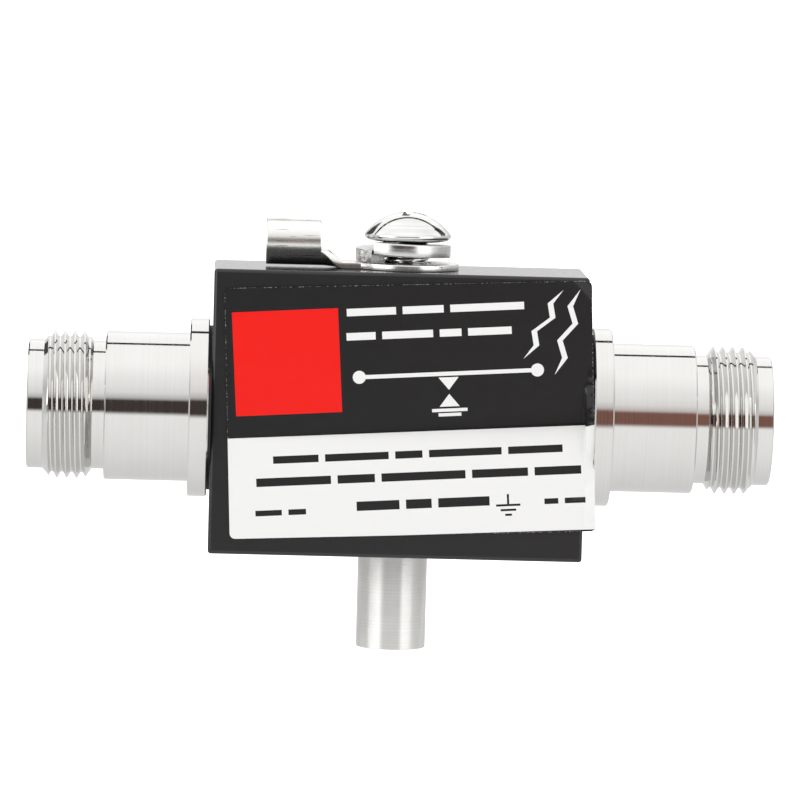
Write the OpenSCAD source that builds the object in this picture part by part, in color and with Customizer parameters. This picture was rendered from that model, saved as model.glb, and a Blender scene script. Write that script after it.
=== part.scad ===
// Coax lightning arrestor: a painted block with a screw-on jack at each end, a gas tube under
// a turned cap below and a ground terminal on top. Millimetres, +Z up, the coax line along X.
// The origin is on the line, halfway along the thread of the left jack.

/* [Block] */
// Length of the block along the coax line
body_w = 40; // [34:0.5:60]
// Depth of the block, front to back
body_d = 16; // [15:0.5:24]
// Height of the block
body_h = 30.5; // [28:0.5:40]
// Height of the coax line above the underside
line_height = 15; // [13:0.5:17]
// Radius on the outer edges of the block
edge_r = 0.4; // [0.2:0.1:1]
// Bore of the line chamber through the block
chamber_d = 10; // [8.5:0.1:11]

/* [Jacks] */
// Thickness of the gasket under each flange
gasket_t = 0.3; // [0.2:0.1:1]
// Extra thickness of the right gasket, which holds its jack further out
right_gasket_extra = 0.55; // [0:0.05:0.8]
// Outside diameter of the gasket
gasket_d = 17.7; // [15:0.1:18.5]
// Diameter of the round flange
flange_d = 19.2; // [18.6:0.1:22]
// Thickness of the flange
flange_t = 2.1; // [1.2:0.1:3]
// Diameter of the plain shoulder
shoulder_d = 16; // [15.5:0.1:18]
// Length of the plain shoulder
shoulder_len = 9; // [6:0.1:12]
// Diameter of the relief between shoulder and thread
relief_d = 13.8; // [12:0.1:14.5]
// Length of the relief
relief_len = 1.3; // [1:0.1:3]
// Length of the run-out at the inner end of the thread
runout_len = 0.7; // [0.4:0.1:1.5]
// Major diameter of the coupling thread
thread_d = 15.875; // [15:0.025:17]
// Length of the full thread
thread_len = 3.7; // [3:0.1:8]
// Length of the lead from the thread down to the rim
lead_len = 0.9; // [0.2:0.1:1.2]
// Diameter of the plain rim
rim_d = 13.9; // [12:0.1:14.5]
// Length of the plain rim
rim_len = 1.7; // [1:0.1:3]
// Chamfer on the turned edges of the jack
jack_chamfer = 0.15; // [0.1:0.05:0.5]
// Bore of the mouth
mouth_d = 8.1; // [7.6:0.05:9]
// Depth of the mouth, from the rim to the insulator
mouth_depth = 9.1; // [7:0.1:11]
// Diameter of the threaded shank in the block
shank_d = 12; // [11:0.1:13]
// Length of the shank, from the flange to its tip
shank_len = 6.5; // [5:0.1:9]

/* [Line] */
// Diameter of the insulator in the jack
insulator_d = 7; // [5:0.1:7.5]
// Diameter of the collar at the inner end of the insulator
collar_d = 9; // [8:0.1:10]
// Thickness of the collar
collar_t = 1.5; // [0.8:0.1:3]
// Outside diameter of the centre contact
contact_d = 3.05; // [2.6:0.05:4]
// Bore of the socket in the contact
socket_d = 1.65; // [1.2:0.05:2]
// Depth of the socket
socket_depth = 5.5; // [4:0.1:7]
// Width of the four slots in the socket
socket_slot = 0.4; // [0.2:0.05:0.6]
// Length of the four slots
socket_slot_len = 4; // [2:0.1:4]
// Distance from the rim back to the tip of the contact
contact_setback = 4.15; // [3:0.05:6]
// Diameter of the tail of the contact, inside the line conductor
tail_d = 2; // [1.2:0.1:2.4]
// Length of the tail
tail_len = 3.5; // [2:0.1:5]
// Diameter of the line conductor
conductor_d = 4.35; // [3.6:0.05:5]
// Space between the insulator and the line conductor
conductor_space = 2; // [1:0.1:3]
// Depth of the flat that the gas tube touches
flat_depth = 0.3; // [0.1:0.05:0.5]
// Length of the flat
flat_len = 6; // [5.2:0.1:8]

/* [Gas tube] */
// Diameter of the ceramic
tube_d = 5; // [4.8:0.1:5.2]
// Length of the ceramic
ceramic_len = 3.4; // [2.6:0.1:4]
// Wall of the ceramic
ceramic_wall = 0.8; // [0.5:0.05:1]
// Diameter of the end electrodes
electrode_d = 4.6; // [4.2:0.1:4.8]
// Thickness of the end electrodes
electrode_t = 0.8; // [0.5:0.1:1.2]
// Diameter of the boss inside each electrode
boss_d = 2.4; // [1.6:0.1:2.8]
// Gap between the two bosses
spark_gap = 0.7; // [0.3:0.1:1.5]
// Length of the spring under the tube
spring_len = 4; // [3:0.1:5]
// Mean diameter of the spring
spring_d = 3.6; // [2.8:0.1:4.2]
// Wire of the spring
spring_wire = 0.5; // [0.3:0.05:0.6]
// Turns of the spring
spring_turns = 4; // [3:1:5]

/* [Gas tube cap] */
// Diameter of the cap below the block
cap_d = 7.5; // [7.2:0.1:12]
// Length of the cap below the block
cap_len = 10.4; // [6:0.1:16]
// Diameter of the threaded neck of the cap
cap_thread_d = 7; // [6.8:0.1:7.2]
// Length of the threaded neck
cap_neck_len = 10; // [8:0.1:10.4]
// Edge break at the lower end of the cap
cap_chamfer = 0.15; // [0.05:0.05:0.6]
// Wall clearance round the tube in the cap
pocket_clear = 0.1; // [0.05:0.05:0.2]

/* [Ground terminal] */
// Distance of the ground screw to the right of the middle
screw_x = 0.7; // [-4:0.1:4]
// Diameter of the ground screw
screw_d = 5; // [4:0.1:5.1]
// Length of the screw under its head
screw_len = 10; // [8:0.5:11]
// Chamfer at the tip of the screw
tip_chamfer = 0.5; // [0.2:0.1:0.8]
// Depth of the tapped hole in the block
tap_depth = 9; // [8.6:0.1:9.4]
// Diameter of the screw head
head_d = 9.4; // [8:0.1:11]
// Height of the screw head
head_h = 3.15; // [2.4:0.05:4]
// Height of the straight side of the head
head_side = 0.75; // [0.3:0.05:1.2]
// Width of the wings of the cross recess
recess_w = 0.7; // [0.5:0.1:1.2]
// Span of the cross recess at the top
recess_span = 4.6; // [3:0.1:6]
// Depth of the cross recess
recess_depth = 1.9; // [1:0.1:2.2]
// Inside diameter of the lock washer
washer_id = 6; // [5.2:0.1:6.4]
// Outside diameter of the lock washer
washer_od = 10.3; // [8.5:0.1:11]
// Thickness of the lock washer
washer_t = 1.4; // [1:0.1:1.8]
// Rise of the lock washer from one end of its split to the other
washer_rise = 0.9; // [0.3:0.05:1.2]
// Width of the split
split_gap = 0.3; // [0.1:0.05:0.6]
// Direction of the split, counted round from the right
split_dir = 229; // [180:1:300]
// Thickness of the ring terminal
lug_t = 0.7; // [0.5:0.05:1.2]
// Diameter of the ring
ring_d = 11.2; // [9:0.1:14]
// Hole in the ring
ring_hole_d = 5.3; // [5.2:0.1:6]
// Outside diameter of the crimp barrel
barrel_d = 5.1; // [4.4:0.1:6.5]
// Bore of the crimp barrel
barrel_bore_d = 3.6; // [2.4:0.1:3.8]
// Length of the crimp barrel
barrel_len = 5.9; // [4:0.1:9]
// Distance from the screw to the near end of the barrel
barrel_reach = 9.3; // [8:0.1:14]
// Length of the trough between barrel and ring
trough_len = 2.4; // [1.5:0.1:3]
// Height of the trough beside the barrel
trough_h = 2; // [1.2:0.1:2.4]
// Lift of the barrel above the block
barrel_lift = 0.15; // [0.1:0.05:0.4]

/* [Front label] */
// Width of the label
label_w = 39.1; // [30:0.1:42]
// Height of the label
label_h = 26.8; // [20:0.1:28]
// Thickness of the label
label_t = 0.15; // [0.1:0.05:0.3]
// Radius of the corners of the label
label_r = 0.6; // [0.3:0.1:2]
// Turn of the label on the front of the block
label_turn = 2.6; // [0:0.1:4]
// Distance of the label to the right of the middle
label_x = 1.25; // [-2:0.05:1.5]
// Height of the label above the coax line
label_z = 0.95; // [0:0.05:1]

/* [Clearances] */
// Radial clearance in a thread
thread_clear = 0.05; // [0.02:0.01:0.1]
// Radial clearance of pressed and soldered pieces
press_clear = 0.02; // [0.01:0.01:0.05]
// Space left where two pieces meet and part
touch_clear = 0.02; // [0.01:0.01:0.1]
// Space between the label and the flange
label_clear = 0.1; // [0.05:0.05:0.3]
// Space past the end of a screw or shank
end_clear = 0.3; // [0.1:0.1:0.6]

/* [Hidden] */
$fn = 64;

// Overlap of cutting shapes past the surface that they cut
over = 1;

// Distances along a jack, counted from the inner face of its flange
shoulder_end = flange_t + shoulder_len;
relief_end = shoulder_end + relief_len;
thread_start = relief_end + runout_len;
thread_end = thread_start + thread_len;
rim_start = thread_end + lead_len;
rim_end = rim_start + rim_len;
mouth_floor = rim_end - mouth_depth;
contact_tip = rim_end - contact_setback;

// Distances from the block's middle on one side, -1 for the left and 1 for the right
function gasket_h(side) = gasket_t + (side > 0 ? right_gasket_extra : 0);
function flange_x(side) = body_w / 2 + gasket_h(side);
function conductor_end(side) = flange_x(side) - shank_len - conductor_space;

// Place of the block's middle along X
mid_x = flange_x(-1) + thread_start + thread_len / 2;

// Heights
top_z = body_h - line_height;
under_z = -line_height;
lug_top_z = top_z + lug_t;
head_z = lug_top_z + washer_t + washer_rise + touch_clear;
flat_z = -(conductor_d / 2 - flat_depth);
tube_top_z = flat_z - touch_clear;
ceramic_top_z = tube_top_z - electrode_t;
ceramic_under_z = ceramic_top_z - ceramic_len;
tube_under_z = ceramic_under_z - electrode_t;
pocket_z = tube_under_z - spring_len;
barrel_z = top_z + barrel_lift + barrel_d / 2;

// Forms worked out from the sizes above
boss_len = (ceramic_len - spark_gap) / 2;
crown_h = head_h - head_side;
crown_r = (pow(head_d / 2, 2) + pow(crown_h, 2)) / (2 * crown_h);
socket_room_d = shank_d + 2 * thread_clear;
washer_shift = (washer_id - screw_d) / 2 - thread_clear;

// Turns a shape that stands on Z out along the jack on that side
module on_jack(side) {
    translate([mid_x + side * flange_x(side), 0, 0])
        rotate([0, side * 90, 0])
            children();
}

module at_middle() {
    translate([mid_x, 0, 0])
        children();
}

module at_screw() {
    translate([mid_x + screw_x, 0, 0])
        children();
}

module rounded_rect(w, h, r) {
    square([w - 2 * r, h], center = true);
    square([w, h - 2 * r], center = true);
    for (x = [-1, 1], y = [-1, 1])
        translate([x * (w / 2 - r), y * (h / 2 - r)])
            circle(r);
}

module rounded_block(w, d, h, r) {
    intersection() {
        linear_extrude(h, center = true)
            rounded_rect(w, d, r);
        rotate([90, 0, 0])
            linear_extrude(d, center = true)
                rounded_rect(w, h, r);
        rotate([90, 0, 90])
            linear_extrude(w, center = true)
                rounded_rect(d, h, r);
    }
}

// Joins a row of rings of points into one closed solid
module swept(rings) {
    n = len(rings);
    m = len(rings[0]);
    points = [for (ring = rings) each ring];
    sides = [
        for (i = [0 : n - 2], j = [0 : m - 1])
            let (a = i * m + j, b = i * m + (j + 1) % m)
                each [[a, a + m, b], [b, a + m, b + m]]
    ];
    near_end = [for (j = [0 : m - 1]) j];
    far_end = [for (j = [m - 1 : -1 : 0]) (n - 1) * m + j];
    polyhedron(points, concat([near_end], sides, [far_end]), convexity = 6);
}

module body() {
    color("#333333")
        at_middle()
            difference() {
                translate([0, 0, (top_z + under_z) / 2])
                    rounded_block(body_w, body_d, body_h, edge_r);
                rotate([0, 90, 0])
                    cylinder(d = chamber_d, h = body_w + 2 * over, center = true);
                for (side = [-1, 1])
                    rotate([0, side * 90, 0])
                        translate([0, 0, flange_x(side) - shank_len - end_clear])
                            cylinder(d = socket_room_d, h = shank_len + end_clear + over);
                translate([0, 0, under_z - over])
                    cylinder(d = cap_thread_d + 2 * thread_clear, h = line_height + over);
                translate([screw_x, 0, top_z - tap_depth])
                    cylinder(d = screw_d + 2 * thread_clear, h = tap_depth + over);
            }
}

// Section of a jack shell, from the tip of the shank round to the mouth and back
module jack_section() {
    c = jack_chamfer;
    bore_r = insulator_d / 2 + press_clear;
    collar_r = collar_d / 2 + press_clear;
    polygon([
        [collar_r, -shank_len],
        [shank_d / 2 - c, -shank_len],
        [shank_d / 2, -shank_len + c],
        [shank_d / 2, 0],
        [flange_d / 2 - c, 0],
        [flange_d / 2, c],
        [flange_d / 2, flange_t - c],
        [flange_d / 2 - c, flange_t],
        [shoulder_d / 2, flange_t],
        [shoulder_d / 2, shoulder_end - c],
        [shoulder_d / 2 - c, shoulder_end],
        [relief_d / 2, shoulder_end],
        [relief_d / 2, relief_end],
        [thread_d / 2, thread_start],
        [thread_d / 2, thread_end],
        [rim_d / 2, rim_start],
        [rim_d / 2, rim_end - c],
        [rim_d / 2 - c, rim_end],
        [mouth_d / 2 + c, rim_end],
        [mouth_d / 2, rim_end - c],
        [mouth_d / 2, mouth_floor],
        [bore_r, mouth_floor],
        [bore_r, -shank_len + collar_t + press_clear],
        [collar_r, -shank_len + collar_t + press_clear]
    ]);
}

module jack_shell(side) {
    color("#d9d9d6")
        on_jack(side)
            rotate_extrude()
                jack_section();
}

module left_jack_shell() {
    jack_shell(-1);
}

module right_jack_shell() {
    jack_shell(1);
}

// White sleeve that carries the contact, with a collar that stops it in the shank
module insulator(side) {
    bore_r = contact_d / 2 + press_clear;
    color("#f2f2ee")
        on_jack(side)
            rotate_extrude()
                polygon([
                    [bore_r, -shank_len],
                    [collar_d / 2, -shank_len],
                    [collar_d / 2, -shank_len + collar_t],
                    [insulator_d / 2, -shank_len + collar_t],
                    [insulator_d / 2, mouth_floor],
                    [bore_r, mouth_floor]
                ]);
}

module left_insulator() {
    insulator(-1);
}

module right_insulator() {
    insulator(1);
}

// Pin with a slotted socket at the mouth and a thin tail in the line conductor
module centre_contact(side) {
    tail_start = conductor_end(side) - flange_x(side);
    color("#d8b45a")
        on_jack(side)
            difference() {
                union() {
                    translate([0, 0, tail_start + touch_clear])
                        cylinder(d = contact_d, h = contact_tip - tail_start - touch_clear);
                    translate([0, 0, tail_start - tail_len])
                        cylinder(d = tail_d, h = tail_len + over);
                }
                translate([0, 0, contact_tip - socket_depth])
                    cylinder(d = socket_d, h = socket_depth + over);
                for (turn = [0, 90])
                    rotate([0, 0, turn])
                        translate([-contact_d, -socket_slot / 2, contact_tip - socket_slot_len])
                            cube([2 * contact_d, socket_slot, socket_slot_len + over]);
            }
}

module left_centre_contact() {
    centre_contact(-1);
}

module right_centre_contact() {
    centre_contact(1);
}

module gasket(side) {
    color("#1c1c1c")
        on_jack(side)
            translate([0, 0, -gasket_h(side)])
                difference() {
                    cylinder(d = gasket_d, h = gasket_h(side));
                    translate([0, 0, -over])
                        cylinder(d = socket_room_d, h = gasket_h(side) + 2 * over);
                }
}

module left_gasket() {
    gasket(-1);
}

module right_gasket() {
    gasket(1);
}

// Rod between the two contacts, drilled for their tails and flatted over the gas tube
module line_conductor() {
    hole_len = tail_len + end_clear;
    color("#cfa64f")
        at_middle()
            difference() {
                translate([-conductor_end(-1), 0, 0])
                    rotate([0, 90, 0])
                        cylinder(d = conductor_d, h = conductor_end(-1) + conductor_end(1));
                for (side = [-1, 1])
                    rotate([0, side * 90, 0])
                        translate([0, 0, conductor_end(side) - hole_len])
                            cylinder(d = tail_d + 2 * press_clear, h = hole_len + over);
                translate([-flat_len / 2, -conductor_d, flat_z - conductor_d])
                    cube([flat_len, 2 * conductor_d, conductor_d]);
            }
}

module gas_tube_ceramic() {
    color("#f0ead8")
        at_middle()
            translate([0, 0, ceramic_under_z])
                difference() {
                    cylinder(d = tube_d, h = ceramic_len);
                    translate([0, 0, -over])
                        cylinder(d = tube_d - 2 * ceramic_wall, h = ceramic_len + 2 * over);
                }
}

// Disc with a boss that stands into the ceramic
module electrode() {
    cylinder(d = electrode_d, h = electrode_t);
    translate([0, 0, electrode_t])
        cylinder(d = boss_d, h = boss_len);
}

module upper_electrode() {
    color("#c9c9c4")
        at_middle()
            translate([0, 0, tube_top_z])
                mirror([0, 0, 1])
                    electrode();
}

module lower_electrode() {
    color("#c9c9c4")
        at_middle()
            translate([0, 0, tube_under_z])
                electrode();
}

// Coil that presses the tube up against the line
module contact_spring() {
    steps_per_turn = 20;
    wire_sides = 6;
    steps = spring_turns * steps_per_turn;
    low = pocket_z + spring_wire / 2 + touch_clear;
    high = tube_under_z - spring_wire / 2 - touch_clear;
    rings = [
        for (i = [0 : steps])
            let (turn = 360 * i / steps_per_turn, z = low + (high - low) * i / steps)
                [
                    for (j = [0 : wire_sides - 1])
                        let (
                            a = 360 * j / wire_sides,
                            r = spring_d / 2 + spring_wire / 2 * cos(a)
                        )
                            [r * cos(turn), r * sin(turn), z + spring_wire / 2 * sin(a)]
                ]
    ];
    color("#b8b8b4")
        at_middle()
            swept(rings);
}

// Turned cap: plain barrel below the block, threaded neck with the pocket of the tube inside
module gas_tube_cap() {
    pocket_r = tube_d / 2 + pocket_clear;
    neck_top_z = under_z + cap_neck_len;
    color("#b5b3ae")
        at_middle()
            rotate_extrude()
                polygon([
                    [0, under_z - cap_len],
                    [cap_d / 2 - cap_chamfer, under_z - cap_len],
                    [cap_d / 2, under_z - cap_len + cap_chamfer],
                    [cap_d / 2, under_z - touch_clear],
                    [cap_thread_d / 2, under_z - touch_clear],
                    [cap_thread_d / 2, neck_top_z],
                    [pocket_r, neck_top_z],
                    [pocket_r, pocket_z],
                    [0, pocket_z]
                ]);
}

// One wing pair of the cross recess, narrowing downwards
module recess_wing() {
    floor_span = recess_w;
    rotate([90, 0, 0])
        linear_extrude(recess_w, center = true)
            polygon([
                [-floor_span / 2, -recess_depth],
                [floor_span / 2, -recess_depth],
                [recess_span / 2, 0],
                [recess_span / 2, over],
                [-recess_span / 2, over],
                [-recess_span / 2, 0]
            ]);
}

module ground_screw() {
    color("#dcdcda")
        at_screw()
            difference() {
                union() {
                    translate([0, 0, head_z - screw_len])
                        cylinder(d1 = screw_d - 2 * tip_chamfer, d2 = screw_d, h = tip_chamfer);
                    translate([0, 0, head_z - screw_len + tip_chamfer])
                        cylinder(d = screw_d, h = screw_len - tip_chamfer + head_side);
                    intersection() {
                        translate([0, 0, head_z])
                            cylinder(d = head_d, h = head_h);
                        translate([0, 0, head_z + head_h - crown_r])
                            sphere(crown_r);
                    }
                }
                translate([0, 0, head_z + head_h])
                    for (turn = [0, 90])
                        rotate([0, 0, turn])
                            recess_wing();
            }
}

// Split ring that climbs from the lower end of its split to the upper one, loose and over to the left
module lock_washer() {
    steps = 48;
    split_angle = split_gap / (washer_od / 2) * 180 / PI;
    sweep_angle = 360 - split_angle;
    rings = [
        for (i = [0 : steps])
            let (
                a = split_dir - split_angle / 2 - sweep_angle * i / steps,
                z = lug_top_z + touch_clear / 2 + washer_rise * i / steps,
                inner = washer_id / 2,
                outer = washer_od / 2
            )
                [
                    [inner * cos(a), inner * sin(a), z],
                    [outer * cos(a), outer * sin(a), z],
                    [outer * cos(a), outer * sin(a), z + washer_t],
                    [inner * cos(a), inner * sin(a), z + washer_t]
                ]
    ];
    color("#d6d6d4")
        at_screw()
            translate([-washer_shift, 0, 0])
                swept(rings);
}

// Flat outline of the ring and of the tongue that runs to the barrel
module lug_outline() {
    tongue_w = barrel_d;
    difference() {
        union() {
            circle(d = ring_d);
            translate([-barrel_reach, -tongue_w / 2])
                square([barrel_reach, tongue_w]);
        }
        circle(d = ring_hole_d);
    }
}

// Rolled sheet: a crimp barrel, a trough that opens on a slant and a flat ring
module ring_terminal() {
    barrel_r = barrel_d / 2;
    bore_r = barrel_bore_d / 2;
    flare = barrel_z - lug_top_z - bore_r;
    color("#d2d2cf")
        at_screw()
            difference() {
                union() {
                    translate([0, 0, top_z])
                        linear_extrude(lug_t)
                            lug_outline();
                    translate([-barrel_reach, 0, barrel_z])
                        rotate([0, -90, 0])
                            cylinder(r = barrel_r, h = barrel_len);
                    intersection() {
                        translate([-barrel_reach, 0, barrel_z])
                            rotate([0, 90, 0])
                                cylinder(r1 = barrel_r, r2 = barrel_r + flare, h = trough_len);
                        rotate([90, 0, 0])
                            linear_extrude(2 * barrel_d, center = true)
                                polygon([
                                    [-barrel_reach, top_z],
                                    [-barrel_reach + trough_len, top_z],
                                    [-barrel_reach + trough_len, lug_top_z],
                                    [-barrel_reach, lug_top_z + trough_h]
                                ]);
                    }
                }
                translate([-barrel_reach, 0, barrel_z])
                    rotate([0, -90, 0])
                        cylinder(r = bore_r, h = barrel_len + over);
                translate([-barrel_reach, 0, barrel_z])
                    rotate([0, 90, 0])
                        cylinder(r1 = bore_r, r2 = bore_r + flare, h = trough_len);
            }
}

// Sticker on the front, a little turned, trimmed where the right gasket and flange are in its way
module front_label() {
    flange_room = flange_d / 2 + label_clear;
    color("#2e2e2e")
        at_middle()
            difference() {
                translate([label_x, -body_d / 2, label_z])
                    rotate([90, -label_turn, 0])
                        linear_extrude(label_t)
                            rounded_rect(label_w, label_h, label_r);
                translate([body_w / 2 - touch_clear, 0, 0])
                    rotate([0, 90, 0])
                        cylinder(r = flange_room, h = gasket_h(1) + flange_t + shoulder_len);
            }
}

body();
left_jack_shell();
right_jack_shell();
left_insulator();
right_insulator();
left_centre_contact();
right_centre_contact();
left_gasket();
right_gasket();
line_conductor();
gas_tube_ceramic();
upper_electrode();
lower_electrode();
contact_spring();
gas_tube_cap();
ground_screw();
lock_washer();
ring_terminal();
front_label();
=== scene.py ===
import bpy
import bmesh
import math
from mathutils import Matrix, Vector
from mathutils.geometry import delaunay_2d_cdt


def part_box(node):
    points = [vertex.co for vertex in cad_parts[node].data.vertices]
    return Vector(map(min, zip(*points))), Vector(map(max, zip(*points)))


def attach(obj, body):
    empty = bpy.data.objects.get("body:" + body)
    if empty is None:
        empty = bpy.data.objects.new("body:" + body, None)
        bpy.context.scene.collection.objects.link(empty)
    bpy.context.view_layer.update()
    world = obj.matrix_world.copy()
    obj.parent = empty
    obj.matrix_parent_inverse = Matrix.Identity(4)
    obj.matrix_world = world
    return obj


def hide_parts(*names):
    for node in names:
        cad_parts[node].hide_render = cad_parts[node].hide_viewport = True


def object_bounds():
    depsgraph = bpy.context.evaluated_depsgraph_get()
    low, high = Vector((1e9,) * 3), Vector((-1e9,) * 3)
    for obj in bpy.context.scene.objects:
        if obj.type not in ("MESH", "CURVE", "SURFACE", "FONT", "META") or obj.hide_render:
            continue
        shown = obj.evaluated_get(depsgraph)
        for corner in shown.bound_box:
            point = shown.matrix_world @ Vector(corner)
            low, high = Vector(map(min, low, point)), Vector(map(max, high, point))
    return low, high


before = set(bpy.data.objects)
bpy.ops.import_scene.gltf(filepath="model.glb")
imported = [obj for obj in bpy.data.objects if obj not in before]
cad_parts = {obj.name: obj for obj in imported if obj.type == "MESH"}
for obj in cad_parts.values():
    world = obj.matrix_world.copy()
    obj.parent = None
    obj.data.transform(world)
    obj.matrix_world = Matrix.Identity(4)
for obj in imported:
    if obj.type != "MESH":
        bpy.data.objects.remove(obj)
cadLow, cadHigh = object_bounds()   # the CAD model's box
scene = bpy.context.scene
mm = 0.001
weld = 0.001 * mm   # points nearer to each other than this are one


def boxMm(node):
    low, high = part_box(node)
    return low / mm, high / mm


blockLow, blockHigh = boxMm("body")
blockMid = (blockLow.x + blockHigh.x) / 2    # along the coax line
blockFront = blockLow.y
blockTop = blockHigh.z
screwLow, screwHigh = boxMm("ground_screw")
screwX = (screwLow.x + screwHigh.x) / 2
print("frame loaded")


# Materials: colours are sRGB hex, pattern sizes are real millimetres

def srgb(hexText):
    channels = [int(hexText[i:i + 2], 16) / 255 for i in (1, 3, 5)]
    linear = [c / 12.92 if c <= 0.04045 else ((c + 0.055) / 1.055) ** 2.4 for c in channels]
    return (*linear, 1.0)


def perMm(size):
    return 1 / (size * mm)   # texture scale that gives features of that size


def addNode(tree, kind, settings={}, inputs={}):
    # an input is a plain value, or (node, output) for a link; ramp holds (place, colour) stops
    made = tree.nodes.new(kind)
    for name, value in settings.items():
        if name == "ramp":
            stops = made.color_ramp.elements
            while len(stops) < len(value):
                stops.new(1.0)
            for stop, (place, colour) in zip(stops, value):
                stop.position = place
                stop.color = colour
        else:
            setattr(made, name, value)
    for socket, value in inputs.items():
        if isinstance(value, tuple) and isinstance(value[0], bpy.types.Node):
            tree.links.new(value[0].outputs[value[1]], made.inputs[socket])
        else:
            made.inputs[socket].default_value = value
    return made


def newSurface(name, sockets):
    material = bpy.data.materials.new(name)
    material.use_nodes = True
    tree = material.node_tree
    shader = tree.nodes["Principled BSDF"]
    for socket, value in sockets.items():
        shader.inputs[socket].default_value = value
    where = addNode(tree, "ShaderNodeTexCoord")
    return material, tree, shader, where


def grey(level):
    return (level, level, level, 1.0)


def noise(tree, where, size, detail):
    return addNode(tree, "ShaderNodeTexNoise", {},
                   {"Vector": where, "Scale": perMm(size), "Detail": detail})


def dress(tree, shader, tone, gloss, height, depth):
    # tone, gloss and height are (node, output); the relief's depth is in millimetres
    relief = addNode(tree, "ShaderNodeBump", {},
                     {"Height": height, "Strength": 1.0, "Distance": depth * mm})
    wires = {"Base Color": tone, "Roughness": gloss, "Normal": (relief, "Normal")}
    for socket, (node, output) in wires.items():
        tree.links.new(node.outputs[output], shader.inputs[socket])


def turnedMetal(name, axis, centre, dull, bright, roughness, linePitch, lineDepth, sockets={}):
    # lathe-turned metal: fine rings round the axis catch the light, tone and gloss drift a little
    material, tree, shader, where = newSurface(name, {"Metallic": 1.0, **sockets})
    local = addNode(tree, "ShaderNodeVectorMath", {"operation": "SUBTRACT"},
                    {0: (where, "Object"), 1: tuple(c * mm for c in centre)})
    parts = addNode(tree, "ShaderNodeSeparateXYZ", {}, {"Vector": (local, "Vector")})
    across = [n for n in "XYZ" if n != axis]
    flat = addNode(tree, "ShaderNodeCombineXYZ", {},
                   {"X": (parts, across[0]), "Y": (parts, across[1])})
    radius = addNode(tree, "ShaderNodeVectorMath", {"operation": "LENGTH"}, {0: (flat, "Vector")})
    rings = addNode(tree, "ShaderNodeCombineXYZ", {},
                    {"X": (parts, axis), "Y": (radius, "Value")})
    lines = addNode(tree, "ShaderNodeTexNoise", {"noise_dimensions": "2D"},
                    {"Vector": (rings, "Vector"), "Scale": perMm(linePitch), "Detail": 3.0})
    drift = noise(tree, (where, "Object"), 4.0, 4.0)
    streaky = addNode(tree, "ShaderNodeMix", {"data_type": "FLOAT"},
                      {"Factor": 0.5, "A": (drift, "Fac"), "B": (lines, "Fac")})
    tone = addNode(tree, "ShaderNodeValToRGB", {"ramp": [(0.36, srgb(dull)), (0.62, srgb(bright))]},
                   {"Fac": (streaky, "Result")})
    gloss = addNode(tree, "ShaderNodeMapRange", {},
                    {"Value": (lines, "Fac"), "From Min": 0.3, "From Max": 0.7,
                     "To Min": roughness[0], "To Max": roughness[1]})
    dress(tree, shader, (tone, "Color"), (gloss, "Result"), (lines, "Fac"), lineDepth)
    return material


def mouldedSurface(name, dark, light, roughness, grain, grainDepth, sockets={}):
    # plain pressed or moulded stuff: soft mottling of the colour over a fine grain
    material, tree, shader, where = newSurface(name, sockets)
    mottle = noise(tree, (where, "Object"), 3.0, 5.0)
    tone = addNode(tree, "ShaderNodeValToRGB", {"ramp": [(0.3, srgb(dark)), (0.7, srgb(light))]},
                   {"Fac": (mottle, "Fac")})
    fine = noise(tree, (where, "Object"), grain, 3.0)
    gloss = addNode(tree, "ShaderNodeMapRange", {},
                    {"Value": (fine, "Fac"), "To Min": roughness[0], "To Max": roughness[1]})
    dress(tree, shader, (tone, "Color"), (gloss, "Result"), (fine, "Fac"), grainDepth)
    return material


paint = {"ior": 1.42, "black": "#29292a", "nib": "#6f6f6f", "nibGrid": 0.9, "nibPatch": 1.6,
         "nibSize": 0.09, "nibFrom": (0.6, 0.75), "peel": 0.7, "peelDepth": 0.004, "roughness": (0.1, 0.2)}


def stovedEnamel():
    # glossy black enamel, sprayed and stoved: faint orange peel, a few pale dust nibs
    material, tree, shader, where = newSurface("glossyBlackEnamel", {"IOR": paint["ior"]})
    nibs = addNode(tree, "ShaderNodeTexVoronoi", {},
                   {"Vector": (where, "Object"), "Scale": perMm(paint["nibGrid"]), "Randomness": 1.0})
    rare = noise(tree, (where, "Object"), paint["nibPatch"], 1.0)
    size = addNode(tree, "ShaderNodeMapRange", {},
                   {"Value": (rare, "Fac"), "From Min": paint["nibFrom"][0],
                    "From Max": paint["nibFrom"][1], "To Min": 0.0, "To Max": paint["nibSize"]})
    speck = addNode(tree, "ShaderNodeMath", {"operation": "LESS_THAN"},
                    {0: (nibs, "Distance"), 1: (size, "Result")})
    tone = addNode(tree, "ShaderNodeMix", {"data_type": "RGBA"},
                   {"Factor": (speck, "Value"), "A": srgb(paint["black"]), "B": srgb(paint["nib"])})
    peel = noise(tree, (where, "Object"), paint["peel"], 2.0)
    gloss = addNode(tree, "ShaderNodeMapRange", {},
                    {"Value": (peel, "Fac"),
                     "To Min": paint["roughness"][0], "To Max": paint["roughness"][1]})
    dress(tree, shader, (tone, "Result"), (gloss, "Result"), (peel, "Fac"), paint["peelDepth"])
    return material


plate = {"bright": "#e6e5e2", "scratched": "#a5a39e", "streakStretch": (0.08, 1.0, 1.0), "streak": 0.35,
         "scratchStretch": (0.06, 1.0, 1.0), "scratchTilt": (0.4, 0.7, 0.9), "scratch": 0.22,
         "scratchFrom": (0.68, 0.7), "scratchDip": -0.8, "depth": 0.004, "roughness": (0.2, 0.3)}


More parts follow.
